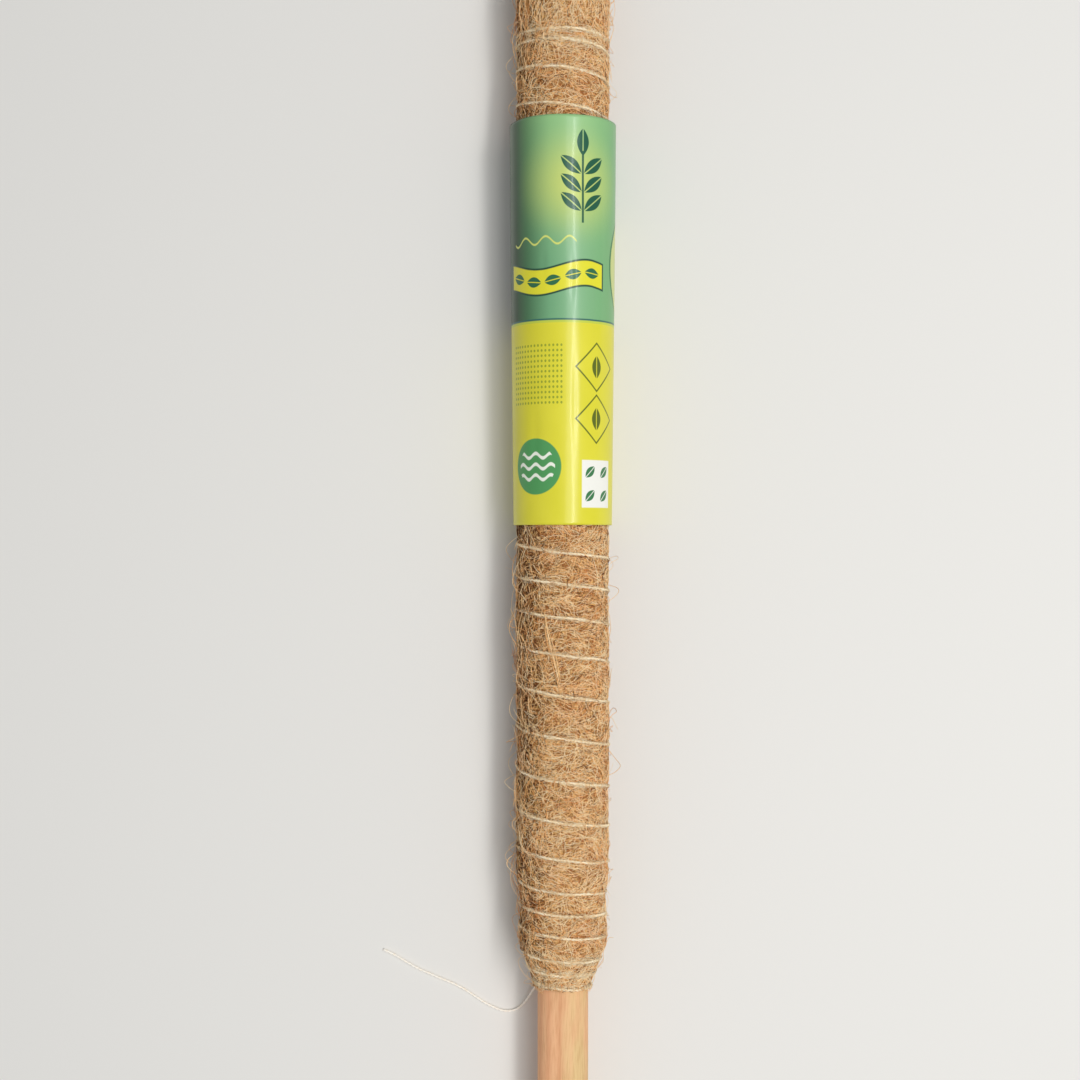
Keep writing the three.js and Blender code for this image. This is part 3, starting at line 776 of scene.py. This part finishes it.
# Foot knot: the twine is wrapped back round itself and drawn tight under the stake, which ends the foot tie
# and holds the tail.
KNOT_WRAPS = 3.5
KNOT_RADIUS = 0.00095
KNOT_STEPS = 160
KNOT_INSET = 0.0008  # from an end of the core to the wraps
KNOT_TONES = (0.6, 0.75, 0.5, 0.6)
knot_low, knot_high = (np.array(corner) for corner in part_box("foot_knot"))
knot_length = knot_high[0] - knot_low[0]
_, knot_y, knot_z = (knot_low + knot_high) / 2
share = np.linspace(0, 1, KNOT_STEPS)
wrap = 2 * np.pi * KNOT_WRAPS * share
wrap_x = knot_high[0] - KNOT_INSET - (knot_length - 2 * KNOT_INSET) * share
wraps = np.stack([wrap_x, knot_y + KNOT_RADIUS * np.sin(wrap), knot_z + KNOT_RADIUS * np.cos(wrap)], -1)
core_x = knot_high[0] - knot_length * share
core = np.stack([core_x, knot_y + 0 * share, knot_z + 0 * share], -1)
knot = twine_object("knotted_twine", [wraps, core], twine_material, KNOT_TONES)
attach(knot, "pole")
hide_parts("foot_knot")

# Paper sleeve: a sheet of coated paper printed on its outside, rolled round the pole and glued along a
# lengthwise lap low on the right. It is loose, snug only at its lower edge, and slides off over the top.
PAPER = 0.0003
SLEEVE_FLARE = 0.0018
LAP_START = math.radians(127.5)
LAP_WIDTH = math.radians(30)
LAP_RAMP = math.radians(30)
LAP_RISE = 0.00036
FLOOR_REACH = 0.5  # how far round from the floor the sheet stays plain
SHEET_COLUMNS, SHEET_ROWS = 260, 150
SHEET_RADIUS = axis_z + SLEEVE_FLARE / 2
MM = 1000
DENTS = [  # angle round the pole, level, half width, half height and depth
    (6.95, 0.58, 0.09, 0.13, 0.00040), (6.45, 0.60, 0.05, 0.05, 0.00022), (5.90, 0.64, 0.07, 0.03, 0.00030),
    (6.60, 0.86, 0.12, 0.05, 0.00025), (6.50, 0.30, 0.06, 0.12, 0.00018), (5.70, 0.20, 0.10, 0.08, 0.00025),
]
sheet_share, sheet_level = np.meshgrid(np.linspace(0, 1, SHEET_COLUMNS), np.linspace(0, 1, SHEET_ROWS))
sheet_turn = LAP_START + (2 * np.pi + LAP_WIDTH) * sheet_share
sleeve_y = sleeve_low.y + (sleeve_high.y - sleeve_low.y) * sheet_level
climb = np.clip((sheet_turn - LAP_START - 2 * np.pi + LAP_RAMP) / LAP_RAMP, 0, 1)
lap = LAP_RISE * climb * climb * (3 - 2 * climb)
buckle = 0.00016 * np.sin(4 * sheet_turn + 3 * sheet_level) * sheet_level
for dent_turn, dent_level, dent_width, dent_height, depth in DENTS:
    off = ((sheet_turn - dent_turn) / dent_width) ** 2 + ((sheet_level - dent_level) / dent_height) ** 2
    buckle = buckle - depth * np.exp(-off)
over_floor = [np.exp(-(((sheet_turn - turn) / FLOOR_REACH) ** 2)) for turn in (3 * np.pi, np.pi)]
buckle = buckle * (1 - over_floor[0] - over_floor[1])
sheet_place = around(axis_z + SLEEVE_FLARE * sheet_level + lap + buckle, sheet_turn, sleeve_y)
sheet_place[..., 2] += SLEEVE_FLARE * sheet_level
sheet_corner = np.arange(SHEET_ROWS - 1)[:, None] * SHEET_COLUMNS + np.arange(SHEET_COLUMNS - 1)
sheet_faces = sheet_corner.reshape(-1, 1) + [0, 1, SHEET_COLUMNS + 1, SHEET_COLUMNS]
sleeve_mesh = bpy.data.meshes.new("paper_sleeve")
sleeve_mesh.from_pydata(sheet_place.reshape(-1, 3).tolist(), [], sheet_faces.tolist(), shade_flat=False)
# The print is laid out in millimetres, across from the top line and up from the lower edge.
print_across = (sheet_turn - 2 * np.pi) * SHEET_RADIUS * MM
print_place = np.stack([print_across, (sleeve_y - sleeve_low.y) * MM], -1).reshape(-1, 2)
print_map = sleeve_mesh.uv_layers.new(name="print_mm")
print_map.uv.foreach_set("vector", print_place[sheet_faces.ravel()].astype(np.float32).ravel())
sleeve = new_object("paper_sleeve", sleeve_mesh)
thickness = sleeve.modifiers.new("paper_thickness", "SOLIDIFY")
thickness.thickness = PAPER
thickness.offset = -1
thickness.material_offset = 1
thickness.material_offset_rim = 1


def leaf_shape():
    """Node group: a pointed leaf that fills -1 to 1 along X and across Y, as a mask with a bare midrib."""
    group, source = new_group("leaf_shape", "Leaf", Vector="Vector")
    parts = node(group, "SeparateXYZ", {"Vector": source.outputs["Vector"]})
    square = calc(group, "MULTIPLY", parts.outputs["X"], parts.outputs["X"])
    side = calc(group, "ABSOLUTE", parts.outputs["Y"])
    inside = calc(group, "SUBTRACT", calc(group, "SUBTRACT", 1.0, square), side)
    ribbed = calc(group, "MULTIPLY", ranged(group, inside, 0.0, 0.08), ranged(group, side, 0.05, 0.12))
    group.links.new(ribbed, group.nodes.new("NodeGroupOutput").inputs["Leaf"])
    return group


FIELD_EDGE = 93.3  # mm, where the green field meets the yellow one
leaf_group = leaf_shape()


def print_material():
    material, tree = new_material("printed_paper")
    place = node(tree, "UVMap", uv_map="print_mm").outputs["UV"]
    parts = node(tree, "SeparateXYZ", {"Vector": place})
    across, up = parts.outputs["X"], parts.outputs["Y"]

    def maths(operation, a, b=0.0):
        return calc(tree, operation, a, b)

    def both(mask, other):
        return maths("MULTIPLY", mask, other)

    def span(value, low, high, soft=0.2):
        """1 where the value lies between low and high."""
        rise = ranged(tree, value, low - soft, low + soft)
        return both(rise, ranged(tree, value, high - soft, high + soft, 1.0, 0.0))

    def distance(x, y):
        return vector(tree, "DISTANCE", place, (x, y, 0))

    def box(left, right, low, high):
        return both(span(across, left, right), span(up, low, high))

    def wave(middle, height, length):
        """How far a point lies above a wavy line."""
        sine = maths("SINE", maths("MULTIPLY", across, 2 * math.pi / length))
        return maths("SUBTRACT", up, maths("ADD", maths("MULTIPLY", sine, height), middle))

    def leaves(stalks):
        """The joined mask of leaves given as (across, up, angle in degrees, length, width)."""
        shown = None
        for x, y, turn, length, width in stalks:
            fit = {"Vector": place, "Location": (x, y, 0), "Rotation": (0, 0, math.radians(turn))}
            fit["Scale"] = (length / 2, width / 2, 1)
            fitted = node(tree, "Mapping", fit, vector_type="TEXTURE").outputs["Vector"]
            mask = node(tree, "Group", {"Vector": fitted}, node_tree=leaf_group).outputs["Leaf"]
            shown = mask if shown is None else maths("MAXIMUM", shown, mask)
        return shown

    def over(under, colour, mask):
        return blend(tree, mask, under, linear(colour))

    # Fields: deep to fresh green from left to right, paler up the middle and with a printed glow, and
    # yellow below. The green is partly print, partly painted shade towards the left edge and painted sheen
    # in the middle.
    slope = maths("ADD", maths("MULTIPLY", across, 0.0125), 0.5)
    # The green ramp holds painted shade towards the left edge and painted sheen in the middle, along with
    # the print's own gradient.
    green = ramp(tree, slope, (0.17, "#123f1e"), (0.42, "#72a97b"), (0.58, "#87b889"), (0.8, "#76ae74"))
    # Paler up the middle towards the top: partly print, partly painted sheen.
    upper_print_and_sheen = ranged(tree, up, 120.0, 190.0, 0.0, 0.5)
    from_sheen_middle = maths("ABSOLUTE", maths("SUBTRACT", across, 2.0))
    green = over(green, "#a9d588", both(upper_print_and_sheen, ranged(tree, from_sheen_middle, 8.0, 26.0, 1.0, 0.1)))
    glow = ranged(tree, distance(5, 157), 0.0, 31.0, 0.75, 0.0, interpolation_type="SMOOTHSTEP")
    green = over(green, "#d6dc6a", glow)
    yellow = ramp(tree, noise(tree, place, 0.035, 3), (0.35, "#dbd432"), (0.7, "#e2da3c"))
    printed = blend(tree, span(up, FIELD_EDGE, 400.0), yellow, green)
    printed = over(printed, "#2f6660", span(up, FIELD_EDGE + 0.9, FIELD_EDGE + 1.7))
    printed = over(printed, "#c3d048", span(up, FIELD_EDGE - 0.1, FIELD_EDGE + 0.9))
    # Green field: a sprig in the glow, a tendril, and a wavy yellow ribbon with a row of leaves
    sprig = [(9, 176, 90, 13, 6)]
    for level in (148.55, 157.05, 165.55):
        sprig += [(9 - 5.46, level, 140, 13, 6), (9 + 5.46, level, 40, 13, 6)]
    printed = over(printed, "#1e5a41", maths("MAXIMUM", leaves(sprig), box(8.5, 9.5, 139, 172)))
    tendril = both(span(wave(131, 1.8, 11), -0.45, 0.45), span(across, -27, 6))
    printed = over(printed, "#d7dd72", tendril)
    ribbon_height, ribbon_up, ribbon_length = 2.2, 114, 46
    ribbon_wave = wave(ribbon_up, ribbon_height, ribbon_length)
    for colour, half, left, right in (("#1d4a3a", 6.4, -30.8, 20.8), ("#e3dd31", 5.5, -30, 20)):
        ribbon = both(span(ribbon_wave, -half, half), span(across, left, right))
        printed = over(printed, colour, ribbon)
    garland = []
    for leaf_number in range(-3, 2):
        x = 4.5 + 9.5 * leaf_number
        phase = 2 * math.pi * x / ribbon_length
        tilt = math.degrees(math.atan(ribbon_height * 2 * math.pi / ribbon_length * math.cos(phase)))
        garland.append((x, ribbon_up + ribbon_height * math.sin(phase), tilt, 8.4, 5.0))
    printed = over(printed, "#2b6b47", leaves(garland))
    for colour, size in (("#3f8048", 31.2), ("#cbd582", 29.6)):
        printed = over(printed, colour, maths("LESS_THAN", distance(57, 121), size))
    # Yellow field: a green disc with white ripples, leaves in diamonds, a block of seed dots, a white panel
    from_disc = distance(-14, 27)
    printed = over(printed, "#4f9a58", span(from_disc, -1.0, 13.0))
    for level in (22, 27, 32):
        ripple = both(span(wave(level, 1.1, 8), -0.8, 0.8), maths("LESS_THAN", from_disc, 10))
        printed = over(printed, "#f1f5e6", ripple)
    for level in (73, 49):
        steps = [maths("ABSOLUTE", maths("SUBTRACT", *pair)) for pair in ((across, 17), (up, level))]
        frame_line = span(maths("ADD", *steps), 10.6, 11.6)
        diamond = maths("MAXIMUM", frame_line, leaves([(17, level, 90, 11, 5.6)]))
        printed = over(printed, "#5c6a1c", diamond)
    cell = vector(tree, "FRACTION", vector(tree, "DIVIDE", place, (1.9, 2.4, 1.0)))
    to_dot = vector(tree, "DISTANCE", cell, (0.5, 0.5, 0.0))
    dots = both(maths("LESS_THAN", to_dot, 0.26), box(-28.5, 0, 55.2, 84))
    printed = over(printed, "#98a32a", dots)
    printed = over(printed, "#f0efe6", box(9, 27, 8, 30))
    panel = [(13.5 + 9 * column, 13.5 + 11 * row, 45, 7.5, 4.2) for column in range(2) for row in range(2)]
    printed = over(printed, "#3d7a4c", leaves(panel))
    creased = noise(tree, place, 0.07, 5, Roughness=0.6)
    rough = ranged(tree, creased, 0.0, 1.0, 0.34, 0.46)
    normal = relief(tree, creased, 0.1, 0.001)
    looks = {"Base Color": printed, "Roughness": rough, "Specular IOR Level": 0.25, "Normal": normal}
    coat = {"Coat Weight": 0.38, "Coat Roughness": 0.16, "Coat Normal": normal}
    return shaded(material, looks | coat)


def paper_back_material():
    material, tree = new_material("bare_paper_back")
    pulp = noise(tree, node(tree, "TexCoord").outputs["Object"], 700, 4)
    colour = ramp(tree, pulp, (0.3, "#d9d5c8"), (0.7, "#ebe8dd"))
    normal = relief(tree, pulp, 0.15, FINE_RELIEF)
    return shaded(material, {"Base Color": colour, "Roughness": 0.75, "Normal": normal})


sleeve_mesh.materials.append(print_material())
sleeve_mesh.materials.append(paper_back_material())
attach(sleeve, "sleeve")
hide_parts("label_sleeve")

# Floor and light: a pale floor, a long strip lamp and a soft panel high on the right, a wide fill lamp on
# the left and an even pale sky.
FLOOR_SPAN = 4.0
FLOOR_DROP = 0.0001  # below everything that lies on it
LAMPS = [  # name, place, size along the pole and across it, and watts
    ("strip_lamp", (0.62, -0.1, 1.48), 1.5, 0.08, 8),
    ("soft_panel", (0.55, -0.1, 1.58), 1.8, 0.8, 14.2),
    ("fill_lamp", (-1.1, -0.3, 1.3), 1.2, 1.2, 0.7),
]
SKY_STRENGTH = 0.39
floor_mesh = bpy.data.meshes.new("studio_floor")
half = FLOOR_SPAN / 2
floor_corners = [(-half, -half, 0), (half, -half, 0), (half, half, 0), (-half, half, 0)]
floor_mesh.from_pydata(floor_corners, [], [(0, 1, 2, 3)])
floor = new_object("studio_floor", floor_mesh)
floor.location.z = -FLOOR_DROP
floor_material, _ = new_material("pale_floor")
floor_mesh.materials.append(shaded(floor_material, {"Base Color": linear("#e4e2dd"), "Roughness": 0.9}))
for lamp_name, lamp_place, along, across, power in LAMPS:
    lamp_data = bpy.data.lights.new(lamp_name, "AREA")
    lamp_data.shape = "RECTANGLE"
    lamp_data.size, lamp_data.size_y, lamp_data.energy = along, across, power
    lamp = new_object(lamp_name, lamp_data)
    lamp.location = lamp_place
    lamp.rotation_euler = (-lamp.location).to_track_quat("-Z", "Y").to_euler()
world = bpy.data.worlds.new("pale_sky")
world.use_nodes = True
sky = {"Color": linear("#f2f4f7"), "Strength": SKY_STRENGTH}
feed(world.node_tree, world.node_tree.nodes["Background"], sky)
bpy.context.scene.world = world
